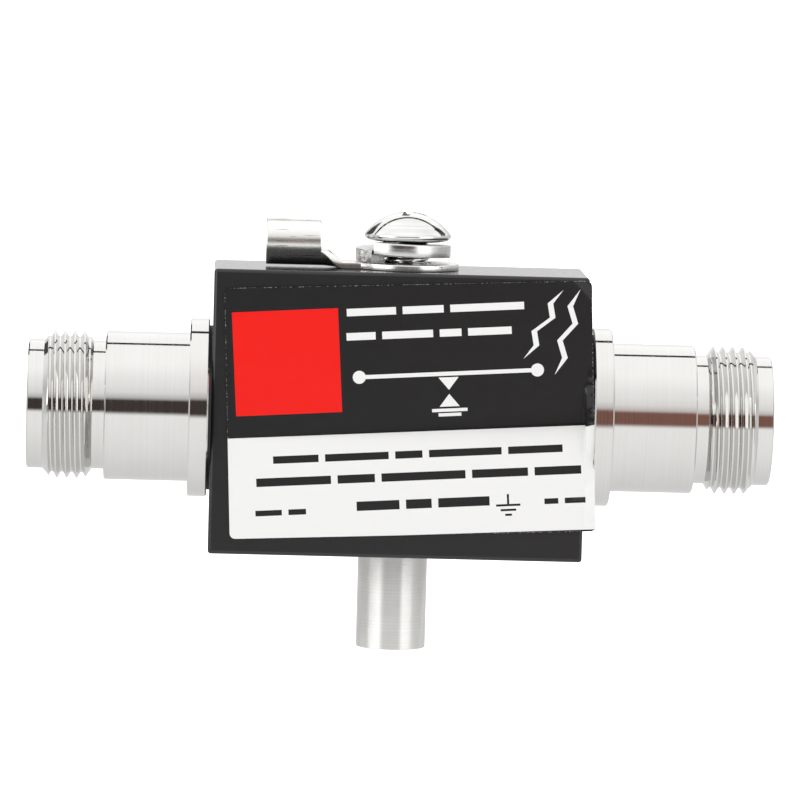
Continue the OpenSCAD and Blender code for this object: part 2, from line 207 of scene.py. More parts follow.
def tinPlate():
    # bright tin over rolled copper sheet: soft mirror with rolling streaks and stray scratches
    material, tree, shader, where = newSurface("brightTinPlate", {"Metallic": 1.0})
    along = addNode(tree, "ShaderNodeMapping", {"vector_type": "POINT"},
                    {"Vector": (where, "Object"), "Scale": plate["streakStretch"]})
    streaks = noise(tree, (along, "Vector"), plate["streak"], 4.0)
    tilted = addNode(tree, "ShaderNodeMapping", {"vector_type": "POINT"},
                     {"Vector": (where, "Object"), "Rotation": plate["scratchTilt"],
                      "Scale": plate["scratchStretch"]})
    stray = noise(tree, (tilted, "Vector"), plate["scratch"], 1.0)
    scratch = addNode(tree, "ShaderNodeValToRGB",
                      {"ramp": list(zip(plate["scratchFrom"], (grey(0.0), grey(1.0))))},
                      {"Fac": (stray, "Fac")})
    tone = addNode(tree, "ShaderNodeMix", {"data_type": "RGBA"},
                   {"Factor": (scratch, "Color"),
                    "A": srgb(plate["bright"]), "B": srgb(plate["scratched"])})
    gloss = addNode(tree, "ShaderNodeMapRange", {},
                    {"Value": (streaks, "Fac"), "From Min": 0.3, "From Max": 0.7,
                     "To Min": plate["roughness"][0], "To Max": plate["roughness"][1]})
    height = addNode(tree, "ShaderNodeMath", {"operation": "MULTIPLY_ADD"},
                     {0: (scratch, "Color"), 1: plate["scratchDip"], 2: (streaks, "Fac")})
    dress(tree, shader, (tone, "Result"), (gloss, "Result"), (height, "Value"), plate["depth"])
    return material


nickel = turnedMetal("brightNickelOnTurnedBrass", "X", (0, 0, 0), "#d1d0cd", "#d5d4d2",
                     (0.03, 0.1), 0.18, 0.003)   # real marks are finer, drawn to show
satin = turnedMetal("satinTurnedAluminium", "Z", (blockMid, 0, 0), "#e4e3e0", "#f5f4f1",
                    (0.36, 0.46), 0.15, 0.003, {"Anisotropic": 1.0, "Anisotropic Rotation": 0.25})
gold = turnedMetal("thinGoldPlate", "X", (0, 0, 0), "#cfa64d", "#e0bd70", (0.14, 0.24), 0.2, 0.003)
brass = turnedMetal("turnedBrass", "X", (0, 0, 0), "#b8924a", "#cfab62", (0.2, 0.32), 0.25, 0.005)
zinc = turnedMetal("brightZincOnSteel", "Z", (screwX, 0, 0), "#cfcfcd", "#dededc",
                   (0.06, 0.13), 0.4, 0.003)
# cross recess walls: rougher punched zinc, and its darker tone is painted shade inside the recess
recessZincPaintedShade = turnedMetal("punchedZincWithPaintedShade", "Z", (screwX, 0, 0), "#7d7c7a", "#aaa9a6",
                          (0.3, 0.45), 0.2, 0.006)
springZinc = turnedMetal("dullZincOnSpringSteel", "Z", (screwX, 0, 0), "#c4c4c2", "#d4d4d2",
                         (0.18, 0.3), 0.3, 0.004)
electrode = turnedMetal("tinnedElectrode", "Z", (blockMid, 0, 0), "#b3b2ad", "#c6c5c1",
                        (0.25, 0.36), 0.3, 0.005)
springWire = turnedMetal("drawnSpringSteel", "Z", (blockMid, 0, 0), "#9b9a97", "#b4b3b0",
                         (0.2, 0.3), 0.3, 0.003)
fluoropolymer = mouldedSurface("waxyWhiteFluoropolymer", "#e6e5df", "#f1f0ec", (0.32, 0.42),
                               0.25, 0.006, {"IOR": 1.38})
rubber = mouldedSurface("blackSheetRubber", "#161616", "#202020", (0.5, 0.7), 0.12, 0.01)
alumina = mouldedSurface("pressedAlumina", "#e2dac4", "#f0e9d8", (0.4, 0.55), 0.15, 0.006)
enamel = stovedEnamel()
tin = tinPlate()

nodeFinish = {
    "body": enamel,
    "left_insulator": fluoropolymer, "right_insulator": fluoropolymer,
    "left_centre_contact": gold, "right_centre_contact": gold,
    "left_gasket": rubber, "right_gasket": rubber,
    "line_conductor": brass, "gas_tube_ceramic": alumina,
    "upper_electrode": electrode, "lower_electrode": electrode, "contact_spring": springWire,
}
for nodeName, finish in nodeFinish.items():
    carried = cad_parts[nodeName]
    for place in carried.material_slots:
        place.material = finish
print("finishes made")


# Meshes

def makePiece(name, made, materials, body, node, sharpAngle=35):
    bmesh.ops.recalc_face_normals(made, faces=made.faces)
    mesh = bpy.data.meshes.new(name)
    made.to_mesh(mesh)
    made.free()
    piece = bpy.data.objects.new(name, mesh)
    scene.collection.objects.link(piece)
    for material in materials:
        mesh.materials.append(material)
    shadeBySharpness(mesh, sharpAngle)
    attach(piece, body)
    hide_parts(node)
    return piece


def shadeBySharpness(mesh, sharpAngle):
    mesh.shade_smooth()
    mesh.set_sharp_from_angle(angle=math.radians(sharpAngle))


def applyModifiers(piece, sharpAngle=35):
    seen = piece.evaluated_get(bpy.context.evaluated_depsgraph_get())
    mesh = bpy.data.meshes.new_from_object(seen)
    piece.modifiers.clear()
    piece.data = mesh
    shadeBySharpness(mesh, sharpAngle)


def smooth(low, high, value):
    t = min(max((value - low) / (high - low), 0), 1)
    return t * t * (3 - 2 * t)


def threadRows(thread, turn, hand):
    # the rows follow the helix, so crests stay crisp; past either end they fold onto its circle
    start, end, pitch = thread["start"], thread["end"], thread["pitch"]
    first = thread.get("crestTurn", 0) - 2         # every row starts before the thread does
    rowCount = (int((end - start) / pitch) + 5) * thread["rowsPerTurn"]
    crestFlat, rootFlat = 0.14, 0.2
    rows = []
    for i in range(rowCount + 1):
        phase = i / thread["rowsPerTurn"]
        along = min(max(start + (phase + first + hand * turn) * pitch, start), end)
        crest = abs(phase % 1 - 0.5) * 2
        share = min(max((crest - rootFlat) / (1 - crestFlat - rootFlat), 0), 1)
        runout = thread["startR"] + (along - start) / thread["runout"] * (thread["r"] - thread["startR"])
        lead = thread["endR"] + (end - along) / thread["lead"] * (thread["r"] - thread["endR"])
        rows.append((along, min(thread["r"] - thread["depth"] * (1 - share), runout, lead)))
    return rows


def spun(profile, steps, place, hand=1):
    # turns (along, radius) points about an axis; a dictionary among them is a thread
    made = bmesh.new()
    columns = []
    for j in range(steps + 1):
        rows = []
        for point in profile:
            rows += threadRows(point, j / steps, hand) if isinstance(point, dict) else [point]
        angle = 2 * math.pi * j / steps
        columns.append([made.verts.new(place(along, r, angle)) for along, r in rows])
    for left, right in zip(columns, columns[1:]):
        for i in range(len(left) - 1):
            made.faces.new((left[i], left[i + 1], right[i + 1], right[i]))
    bmesh.ops.remove_doubles(made, verts=made.verts, dist=weld)
    bmesh.ops.dissolve_degenerate(made, edges=made.edges, dist=weld)
    return made


def onUpright(x):
    def place(along, r, angle):
        return (Vector((x, 0, along)) + r * Vector((math.cos(angle), math.sin(angle), 0))) * mm
    return place


# Jack shells
jack = {
    "flangeT": 2.1, "shoulderR": 8.0, "shoulderEnd": 11.1,
    "reliefR": 6.9, "reliefEnd": 12.4,
    "threadR": 7.9375, "threadDepth": 0.62, "threadEnd": 17.7,
    "pitch": 1.0583,   # 24 threads to the inch
    "runout": 0.7, "lead": 0.9, "rimR": 6.95,
    "mouthR": 4.05, "mouthFloor": 10.3, "boreR": 3.52,
    "shankR": 6.0, "shankLen": 6.5, "collarR": 4.52, "collarT": 1.52,
    "edge": 0.15, "steps": 144, "rowsPerTurn": 14,
    "crestTurn": {"left": 0.22, "right": 0.47},   # where the crests stand as the photo shows them
}


def jackShell(end, side):
    low, high = boxMm(end + "_jack_shell")
    gasketLow, gasketHigh = boxMm(end + "_gasket")
    face = gasketHigh.x if side > 0 else gasketLow.x
    rimEnd = high.x - face if side > 0 else face - low.x
    flangeR = high.y
    e = jack["edge"]
    thread = {
        "start": jack["reliefEnd"], "end": jack["threadEnd"], "pitch": jack["pitch"],
        "r": jack["threadR"], "depth": jack["threadDepth"], "rowsPerTurn": jack["rowsPerTurn"],
        "startR": jack["reliefR"], "runout": jack["runout"], "endR": jack["rimR"], "lead": jack["lead"],
        "crestTurn": jack["crestTurn"][end],
    }
    shoulderR, shoulderEnd, shankR, shankLen = (
        jack[n] for n in ("shoulderR", "shoulderEnd", "shankR", "shankLen"))
    profile = [
        (-shankLen, jack["collarR"]), (-shankLen, shankR - e), (-shankLen + e, shankR), (0, shankR),
        (0, flangeR - e), (e, flangeR), (jack["flangeT"] - e, flangeR), (jack["flangeT"], flangeR - e),
        (jack["flangeT"], shoulderR), (shoulderEnd - e, shoulderR), (shoulderEnd, shoulderR - e),
        (shoulderEnd, jack["reliefR"]), (jack["reliefEnd"], jack["reliefR"]),
        thread,
        (rimEnd - e, jack["rimR"]), (rimEnd, jack["rimR"] - e),
        (rimEnd, jack["mouthR"] + e), (rimEnd - e, jack["mouthR"]),
        (jack["mouthFloor"], jack["mouthR"]), (jack["mouthFloor"], jack["boreR"]),
        (-shankLen + jack["collarT"], jack["boreR"]), (-shankLen + jack["collarT"], jack["collarR"]),
        (-shankLen, jack["collarR"]),
    ]

    def place(along, r, angle):
        return Vector((face + side * along, r * math.cos(angle), r * math.sin(angle))) * mm

    return makePiece(end + "JackShell", spun(profile, jack["steps"], place, side), [nickel],
                     "block", end + "_jack_shell")


jackShell("left", -1)
jackShell("right", 1)
print("jack shells turned and threaded")


# Gas tube cap
cap = {"neckR": 3.5, "pocketR": 2.6, "pocketFloor": -10.895, "edge": 0.08, "neckStep": 0.02,
       "pitch": 1.0, "threadDepth": 0.5, "runout": 0.5, "lead": 0.5, "steps": 96, "rowsPerTurn": 12}


def gasTubeCap():
    low, high = boxMm("gas_tube_cap")
    capR, e = high.y, cap["edge"]
    shoulder = blockLow.z - cap["neckStep"]
    core = cap["neckR"] - cap["threadDepth"]
    thread = {"start": shoulder, "end": high.z, "pitch": cap["pitch"], "r": cap["neckR"],
              "depth": cap["threadDepth"], "rowsPerTurn": cap["rowsPerTurn"],
              "startR": core, "runout": cap["runout"], "endR": core, "lead": cap["lead"]}
    profile = [(low.z, 0), (low.z, capR - e), (low.z + e, capR), (shoulder - e, capR),
               (shoulder, capR - e), thread,
               (high.z, cap["pocketR"]), (cap["pocketFloor"], cap["pocketR"]), (cap["pocketFloor"], 0)]
    return makePiece("gasTubeCap", spun(profile, cap["steps"], onUpright(blockMid)), [satin],
                     "cap", "gas_tube_cap")


gasTubeCap()
print("gas tube cap turned")


# Ground screw
screw = {
    "r": 2.5, "pitch": 0.8, "threadDepth": 0.45, "tip": 0.5, "tipIn": 0.2, "lead": 0.6,
    "underHead": 10.0, "side": 0.75, "crown": 2.4, "crownRows": 14,
    "rimUnder": (0.9, 0.6), "rimRows": 8, "rimR": 0.3, "rimAngles": (12, 24, 34),
    "wingSpan": 4.6, "wingFloor": 1.1, "wingW": 0.85, "wingFloorW": 0.6, "wingDepth": 1.9,
    "wingClear": 0.5,   # past the crown, so that the cut is open above
    "recessTurn": -10.0, "steps": 96, "rowsPerTurn": 12,
}


def recessWing(turn, top):
    # one pair of wings of the cross recess, narrowing downwards
    made = bmesh.new()
    span, width = screw["wingSpan"], screw["wingW"]
    levels = [(top - screw["wingDepth"], screw["wingFloor"], screw["wingFloorW"]),
              (top, span, width), (top + screw["wingClear"], span, width)]
    spin = Matrix.Rotation(turn, 4, "Z")
    rings = []
    for z, span, width in levels:
        corners = [(-span, -width), (span, -width), (span, width), (-span, width)]
        rings.append([made.verts.new((Vector((screwX, 0, z)) + spin @ Vector((x / 2, y / 2, 0))) * mm)
                      for x, y in corners])
    made.faces.new(rings[0])
    made.faces.new(rings[-1])
    for lower, upper in zip(rings, rings[1:]):
        for i in range(4):
            made.faces.new((lower[i], lower[(i + 1) % 4], upper[(i + 1) % 4], upper[i]))
    bmesh.ops.recalc_face_normals(made, faces=made.faces)
    for face in made.faces:
        # the recess walls take slot 1, whose darker tone is painted shade
        face.material_index = 1
    mesh = bpy.data.meshes.new("recessWing")
    made.to_mesh(mesh)
    made.free()
    wing = bpy.data.objects.new("recessWing", mesh)
    scene.collection.objects.link(wing)
    return wing


def groundScrew():
    low, high = boxMm("ground_screw")
    under = low.z + screw["underHead"]
    headR, rimR, (rimIn, rimUp) = high.y, screw["rimR"], screw["rimUnder"]
    top = under + screw["side"] + screw["crown"]
    core = screw["r"] - screw["threadDepth"]
    thread = {"start": low.z + screw["tip"] / 2, "end": under, "pitch": screw["pitch"], "r": screw["r"],
              "depth": screw["threadDepth"], "rowsPerTurn": screw["rowsPerTurn"],
              "startR": core, "runout": screw["tip"], "endR": core, "lead": screw["lead"]}
    profile = [(low.z, 0), (low.z, core - screw["tipIn"]), thread]
    for i in range(screw["rimRows"] + 1):          # rolled rim: a wide curve below, a tight one above
        angle = math.radians(90 * (i / screw["rimRows"] - 1))
        profile.append((under + rimUp * (1 + math.sin(angle)), headR - rimIn * (1 - math.cos(angle))))
    for degrees in screw["rimAngles"]:
        angle = math.radians(degrees)
        profile.append((under + rimUp + rimR * math.sin(angle), headR - rimR * (1 - math.cos(angle))))
    edgeZ, edgeR = profile.pop()                   # the crown starts where the rim ends
    crownR = (edgeR ** 2 + (top - edgeZ) ** 2) / (2 * (top - edgeZ))
    crownEnd = math.asin(edgeR / crownR)
    for i in range(screw["crownRows"] + 1):
        angle = crownEnd * (1 - i / screw["crownRows"])
        profile.append((top - crownR * (1 - math.cos(angle)), crownR * math.sin(angle)))
    piece = makePiece("groundScrew", spun(profile, screw["steps"], onUpright(screwX)),
                      [zinc, recessZincPaintedShade], "screw", "ground_screw")
    firstTurn = math.radians(screw["recessTurn"])
    wings = [recessWing(turn, top) for turn in (firstTurn, firstTurn + math.pi / 2)]
    for wing in wings:
        cut = piece.modifiers.new("crossRecess", "BOOLEAN")
        cut.operation = "DIFFERENCE"
        cut.solver = "EXACT"
        cut.object = wing
    applyModifiers(piece)
    for wing in wings:
        bpy.data.objects.remove(wing)
    return piece


groundScrew()
print("ground screw turned and recessed")


# Lock washer
washer = {"splitDir": 229.0, "splitGap": 0.3, "t": 1.4, "rise": 0.9, "innerR": 3.0,
          "edge": 0.16, "edgeRows": 3, "steps": 120, "sharpAngle": 50}


def lockWasher():
    low, high = boxMm("lock_washer")
    outerR, innerR, e = high.y, washer["innerR"], washer["edge"]
    washerX = (low.x + high.x) / 2   # it lies over to the left of the screw
    corners = [(innerR + e, e, 180), (outerR - e, e, 270), (outerR - e, washer["t"] - e, 0),
               (innerR + e, washer["t"] - e, 90)]
    section = []
    for r, z, startAngle in corners:
        for i in range(washer["edgeRows"] + 1):
            a = math.radians(startAngle + 90 * i / washer["edgeRows"])
            section.append((r + e * math.cos(a), z + e * math.sin(a)))
    splitAngle = washer["splitGap"] / outerR
    sweep = 2 * math.pi - splitAngle
    made = bmesh.new()
    rings = []
    for j in range(washer["steps"] + 1):
        share = j / washer["steps"]
        angle = math.radians(washer["splitDir"]) - splitAngle / 2 - sweep * share
        out = Vector((math.cos(angle), math.sin(angle), 0))
        base = Vector((washerX, 0, low.z + washer["rise"] * share))
        rings.append([made.verts.new((base + r * out + Vector((0, 0, z))) * mm) for r, z in section])
    for near, far in zip(rings, rings[1:]):
        for i in range(len(section)):
            k = (i + 1) % len(section)
            made.faces.new((near[i], near[k], far[k], far[i]))
    made.faces.new(rings[0])
    made.faces.new(rings[-1])
    return makePiece("lockWasher", made, [springZinc], "washer", "lock_washer",
                     washer["sharpAngle"])


lockWasher()
print("lock washer coiled")


# Ring terminal
lug = {
    "sheet": 0.7, "rollR": 2.2, "barrelLen": 5.9, "reach": 9.3, "troughLen": 2.4, "halfWidth": 2.6,
    "holeR": 2.65, "lift": 0.15, "seam": 0.06, "edge": 0.09, "edgeRows": 2, "sharpAngle": 50,
    "barrelRows": 8, "troughRows": 12, "floorColumns": 14, "wallColumns": 16, "ringSteps": 72,
    "tongueShares": (0.25, 0.5, 0.75),
}


def ringTerminal():
    low, high = boxMm("ring_terminal")
    ringR = high.x - screwX
    full = math.pi * lug["rollR"] - lug["seam"] / 2
    half = lug["halfWidth"]
    floorSpread = [half * (2 * i / lug["floorColumns"] - 1) for i in range(lug["floorColumns"] + 1)]
    wallSpread = [half + (full - half) * (i + 1) / lug["wallColumns"] for i in range(lug["wallColumns"])]
    spread = [-s for s in reversed(wallSpread)] + floorSpread + wallSpread
    middle = blockTop + lug["sheet"] / 2
    made = bmesh.new()

    def station(x, opened, columns):
        # one line across the sheet: rolled up at opened 0, flat at opened 1
        curve = (1 - opened) / lug["rollR"]
        rolled = curve > 1e-6                      # else it is flat, and has no radius to divide by
        base = middle + lug["lift"] * (1 - opened)
        line = []
        for s in columns:
            y = math.sin(curve * s) / curve if rolled else s
            z = base + ((1 - math.cos(curve * s)) / curve if rolled else 0)
            line.append(made.verts.new(Vector((screwX + x, y, z)) * mm))
        return line

    def weave(lines):
        for near, far in zip(lines, lines[1:]):
            for i in range(len(near) - 1):
                made.faces.new((near[i], near[i + 1], far[i + 1], far[i]))

    weave([station(-lug["reach"] - lug["barrelLen"] * (1 - i / lug["barrelRows"]), 0, spread)
           for i in range(lug["barrelRows"] + 1)])
    trough = []
    for i in range(lug["troughRows"] + 1):
        share = i / lug["troughRows"]
        trough.append(station(-lug["reach"] + lug["troughLen"] * share, smooth(0, 1, share), floorSpread))
    weave(trough)

    # flat tongue and ring, in spokes round the screw hole
    tongueEnd = -lug["reach"] + lug["troughLen"]
    joinX = -math.sqrt(ringR ** 2 - half ** 2)
    joinAngle = math.atan2(half, joinX)
    tongue = [tongueEnd + (joinX - tongueEnd) * share for share in lug["tongueShares"]]
    outline = [(tongueEnd, s) for s in floorSpread] + [(x, half) for x in tongue]
    arc = [joinAngle - 2 * joinAngle * i / lug["ringSteps"] for i in range(lug["ringSteps"] + 1)]
    outline += [(ringR * math.cos(a), ringR * math.sin(a)) for a in arc]
    outline += [(x, -half) for x in reversed(tongue)]
    spokes = []
    for x, y in outline:
        reach = math.hypot(x, y)
        spokes.append([made.verts.new(Vector((screwX + x * r / reach, y * r / reach, middle)) * mm)
                       for r in (lug["holeR"], (lug["holeR"] + reach) / 2, reach)])
    for near, far in zip(spokes, spokes[1:] + spokes[:1]):
        for i in range(2):
            made.faces.new((near[i], near[i + 1], far[i + 1], far[i]))
    bmesh.ops.remove_doubles(made, verts=made.verts, dist=weld)
    piece = makePiece("ringTerminal", made, [tin], "lug", "ring_terminal")
    thick = piece.modifiers.new("sheet", "SOLIDIFY")
    thick.thickness = lug["sheet"] * mm
    thick.offset = 0
    thick.use_even_offset = True
    broken = piece.modifiers.new("brokenEdges", "BEVEL")
    broken.width = lug["edge"] * mm
    broken.segments = lug["edgeRows"]
    broken.limit_method = "ANGLE"
    broken.angle_limit = math.radians(lug["sharpAngle"])
    applyModifiers(piece, lug["sharpAngle"])
    return piece


ringTerminal()
print("ring terminal rolled")


# Front label
label = {
    "w": 39.1, "h": 26.8, "r": 0.6, "t": 0.13, "stand": 0.15,
    "cornerSteps": 6, "step": 0.5, "sharpAngle": 30,
    "x": 1.25, "z": 0.95, "turn": 2.6, "printTurn": 3.8,   # stuck on crooked, and printed more so
    "panelTop": ((-18.26, -2.6), (21.11, -0.05)),          # the white panel lies below this line
    "shadowLineFrom": -2, "shadowLineShort": 0.14, "shadowLineUp": 0.22,        # thin black strip, wider to the right: painted shadow along the overhanging bottom edge
    "boltW": 0.6, "boltZig": 0.55, "boltCorners": 4,
    "bolts": [((17.2, 14.2), (13.1, 6.7)), ((19.0, 14.3), (16.5, 5.1))],
    "dashGap": 0.7,
}
strip = {   # what hangs past the block's right edge
    "climbX": 19.72, "climbW": 0.25, "clear": 0.1, "bend": 0.3,
    "blackTurn": 8, "whiteTurn": 5, "blackFrom": (-0.9, 0.3),
    "crumples": ((6, 4.1, 0), (4, 7.7, 1)),                # degrees, pace along the edge, start
    "flangeTop": (6.2, 4.6), "flangeFoot": (-7.4, -4.8),
    "curlTop": (-5.0, -7.0), "curlFoot": (-12.0, -9.5), "curlTurn": 22,
    "earAt": (19.2, 14.3), "earReach": 1.1, "earLift": 0.3,
    "gridX": (18.65, 21.6), "gridZ": (-12.0, 15.4), "gridStep": (0.11, 0.3), "gridIn": 0.06,
}
gasketR = boxMm("right_gasket")[1].y + strip["clear"]
black, white, red = range(3)   # places of the label's inks


def turned(point, degrees):
    c, s = math.cos(math.radians(degrees)), math.sin(math.radians(degrees))
    return (point[0] * c - point[1] * s, point[0] * s + point[1] * c)


def toLabel(x, z):
    return turned((x - label["x"], z - label["z"]), -label["turn"])   # from the block's middle


def fromLabel(u, v):
    x, z = turned((u, v), label["turn"])
    return x + label["x"], z + label["z"]


def printed(points, x, z):
    # a shape drawn about its own middle, set straight with the print, at a place on the block's front
    u, v = toLabel(x, z)
    tilt = label["printTurn"] - label["turn"]
    return [(u + p, v + q) for p, q in (turned(point, tilt) for point in points)]


def bar(w, h):
    return [(-w / 2, -h / 2), (w / 2, -h / 2), (w / 2, h / 2), (-w / 2, h / 2)]


def disc(r, steps=20):
    return [(r * math.cos(2 * math.pi * i / steps), r * math.sin(2 * math.pi * i / steps))
            for i in range(steps)]


def shifted(points, p, q):
    return [(x + p, y + q) for x, y in points]


def dashRow(w, h, shares, gap):
    # a plain row of dashes where a line of small print would be
    room = w - gap * (len(shares) - 1)
    row, start = [], -w / 2
    for share in shares:
        length = room * share / sum(shares)
        row.append(shifted(bar(length, h), start + length / 2, 0))
        start += length + gap
    return row


def bolt(top, foot):
    # a plain zigzag stroke, pointed at both ends
    corners = label["boltCorners"]
    zigzag = []
    for i in range(1, corners + 1):
        share = i / (corners + 1)
        side = label["boltZig"] if i % 2 == 0 else -label["boltZig"]
        zigzag.append((top[0] + (foot[0] - top[0]) * share + side, top[1] + (foot[1] - top[1]) * share))
    half = label["boltW"] / 2
    return [top] + shifted(zigzag, -half, 0) + [foot] + shifted(reversed(zigzag), half, 0)


def earthSign(size):
    # upright stem over three bars that get shorter
    rule = size * 0.09
    parts = [shifted(bar(rule, size * 0.45), 0, size * 0.28)]
    for i, share in enumerate((1.0, 0.64, 0.28)):
        parts.append(shifted(bar(size * share, rule), 0, size * (0.05 - 0.2 * i)))
    return parts


def sparkGapSign(w, h):
    # circuit sign of a spark gap from a line to earth
    rule = h * 0.08
    lineQ = h * 0.36
    tip, base, half = h * 0.04, h * 0.25, h * 0.2
    parts = [shifted(bar(w, rule), 0, lineQ)]
    parts += [shifted(disc(h * 0.13), side * w / 2, lineQ) for side in (-1, 1)]
    parts.append([(-half, tip + base), (0, tip), (half, tip + base)])
    parts.append([(-half, -tip - base), (half, -tip - base), (0, -tip)])
    for share, level in ((0.7, -0.36), (0.45, -0.45)):
        parts.append(shifted(bar(h * share, rule * 0.8), 0, h * level))
    return parts


def printFields():
    fields = [(printed(bar(11.3, 11.1), -12.04, 5.72), red)]
    rows = [   # place, width and height of a row, how long its dashes are, and its ink
        (3.6, 11.8, 18.9, 0.8, (6, 5, 9), white), (3.0, 9.17, 17.6, 0.8, (4, 7, 3, 6), white),
        (2.16, -3.75, 30.9, 0.8, (5, 7, 3, 8, 6), black), (2.32, -6.1, 34.7, 0.9, (8, 4, 9, 6, 5), black),
        (2.86, -9.03, 14.2, 1.0, (5, 3, 6), black), (-12.3, -10.37, 5.4, 0.6, (3, 2), black),
        (18.0, -8.33, 4.4, 0.6, (2, 3), black),
    ]
    for x, z, w, h, shares, ink in rows:
        fields += [(printed(dash, x, z), ink) for dash in dashRow(w, h, shares, label["dashGap"])]
    fields += [(printed(part, 5.3, 3.0), white) for part in sparkGapSign(19.0, 5.4)]
    fields += [(printed(part, 11.96, -9.1), black) for part in earthSign(2.6)]
    fields += [([toLabel(x, z) for x, z in bolt(top, foot)], white) for top, foot in label["bolts"]]
    return fields


def labelOutline():
    w, h, r, steps = label["w"], label["h"], label["r"], label["cornerSteps"]
    points = []
    for cx, cy, startAngle in ((1, 1, 0), (-1, 1, 90), (-1, -1, 180), (1, -1, 270)):
        for i in range(steps + 1):
            a = math.radians(startAngle + 90 * i / steps)
            points.append((cx * (w / 2 - r) + r * math.cos(a), cy * (h / 2 - r) + r * math.sin(a)))
    dense = []                                     # short steps, so that a bent corner bends alone
    for a, b in zip(points, points[1:] + points[:1]):
        parts = max(1, int(math.dist(a, b) / label["step"]))
        dense += [(a[0] + (b[0] - a[0]) * i / parts, a[1] + (b[1] - a[1]) * i / parts)
                  for i in range(parts)]
    return dense


def inside(point, polygon):
    x, y = point
    found = False
    for (ax, ay), (bx, by) in zip(polygon, polygon[1:] + polygon[:1]):
        if (ay > y) != (by > y) and x < ax + (y - ay) / (by - ay) * (bx - ax):
            found = not found
    return found


def labelBend(x, z):
    # the strip climbs over the gasket, leans out a little beside the flange and curls below it
    beside = smooth(*strip["flangeTop"], z) * smooth(*strip["flangeFoot"], z)
    curl = smooth(*strip["curlTop"], z) * smooth(*strip["curlFoot"], z)
    crumple = sum(turn * math.sin(z * pace + start) for turn, pace, start in strip["crumples"])
    half = -blockFront
    lift = math.sqrt(max(gasketR ** 2 - z * z, half * half)) - half
    lean = strip["blackTurn"] + crumple - strip["whiteTurn"]
    lean = strip["whiteTurn"] + lean * smooth(*strip["blackFrom"], z)
    angle = math.radians(lean * beside + strip["curlTurn"] * curl * (1 - beside))
    film = max(x - strip["climbX"], 0)
    past = max(film - strip["climbW"], 0)
    angle *= min(past / strip["bend"], 1)          # the fold is a small bend, not a knife edge
    x += past * math.cos(angle) - past
    out = label["stand"] + lift * smooth(0, strip["climbW"], film) + past * math.sin(angle)
    earX, earZ = strip["earAt"]
    ear = smooth(0, strip["earReach"], (x - earX) + (z - earZ))   # the top corner has come loose
    return x, out + strip["earLift"] * ear, z


vinyl = {"ior": 1.45, "nick": 0.2, "nickFrom": (0.5, 0.7), "nickDepth": 0.09,
         "ripple": 1.2, "rippleDepth": 0.004, "roughness": (0.14, 0.24)}


def labelFilm(name, ink, nicked):
    # gloss-laminated vinyl: ink under a clear film, pale nicks where the die cut the edge
    material, tree, shader, where = newSurface(name, {"IOR": vinyl["ior"]})
    sheet = addNode(tree, "ShaderNodeUVMap", {"uv_map": "labelPlane"})
    fromMiddle = addNode(tree, "ShaderNodeVectorMath", {"operation": "SUBTRACT"},
                         {0: (sheet, "UV"), 1: (0.5, 0.5, 0.0)})
    away = addNode(tree, "ShaderNodeVectorMath", {"operation": "ABSOLUTE"}, {0: (fromMiddle, "Vector")})
    parts = addNode(tree, "ShaderNodeSeparateXYZ", {}, {"Vector": (away, "Vector")})
    acrossEdge = addNode(tree, "ShaderNodeMath", {"operation": "MULTIPLY_ADD"},
                         {0: (parts, "X"), 1: -label["w"], 2: label["w"] / 2})
    downEdge = addNode(tree, "ShaderNodeMath", {"operation": "MULTIPLY_ADD"},
                       {0: (parts, "Y"), 1: -label["h"], 2: label["h"] / 2})
    edge = addNode(tree, "ShaderNodeMath", {"operation": "MINIMUM"},
                   {0: (acrossEdge, "Value"), 1: (downEdge, "Value")})
    nick = noise(tree, (where, "Object"), vinyl["nick"], 3.0)
    depth = addNode(tree, "ShaderNodeMapRange", {},
                    {"Value": (nick, "Fac"), "From Min": vinyl["nickFrom"][0],
                     "From Max": vinyl["nickFrom"][1], "To Min": 0.0, "To Max": vinyl["nickDepth"]})
    worn = addNode(tree, "ShaderNodeMath", {"operation": "LESS_THAN"},
                   {0: (edge, "Value"), 1: (depth, "Result")})
    tone = addNode(tree, "ShaderNodeMix", {"data_type": "RGBA"},
                   {"Factor": (worn, "Value"), "A": srgb(ink), "B": srgb(nicked)})
    film = noise(tree, (where, "Object"), vinyl["ripple"], 3.0)
    gloss = addNode(tree, "ShaderNodeMapRange", {},
                    {"Value": (film, "Fac"),
                     "To Min": vinyl["roughness"][0], "To Max": vinyl["roughness"][1]})
    dress(tree, shader, (tone, "Result"), (gloss, "Result"), (film, "Fac"), vinyl["rippleDepth"])
    return material


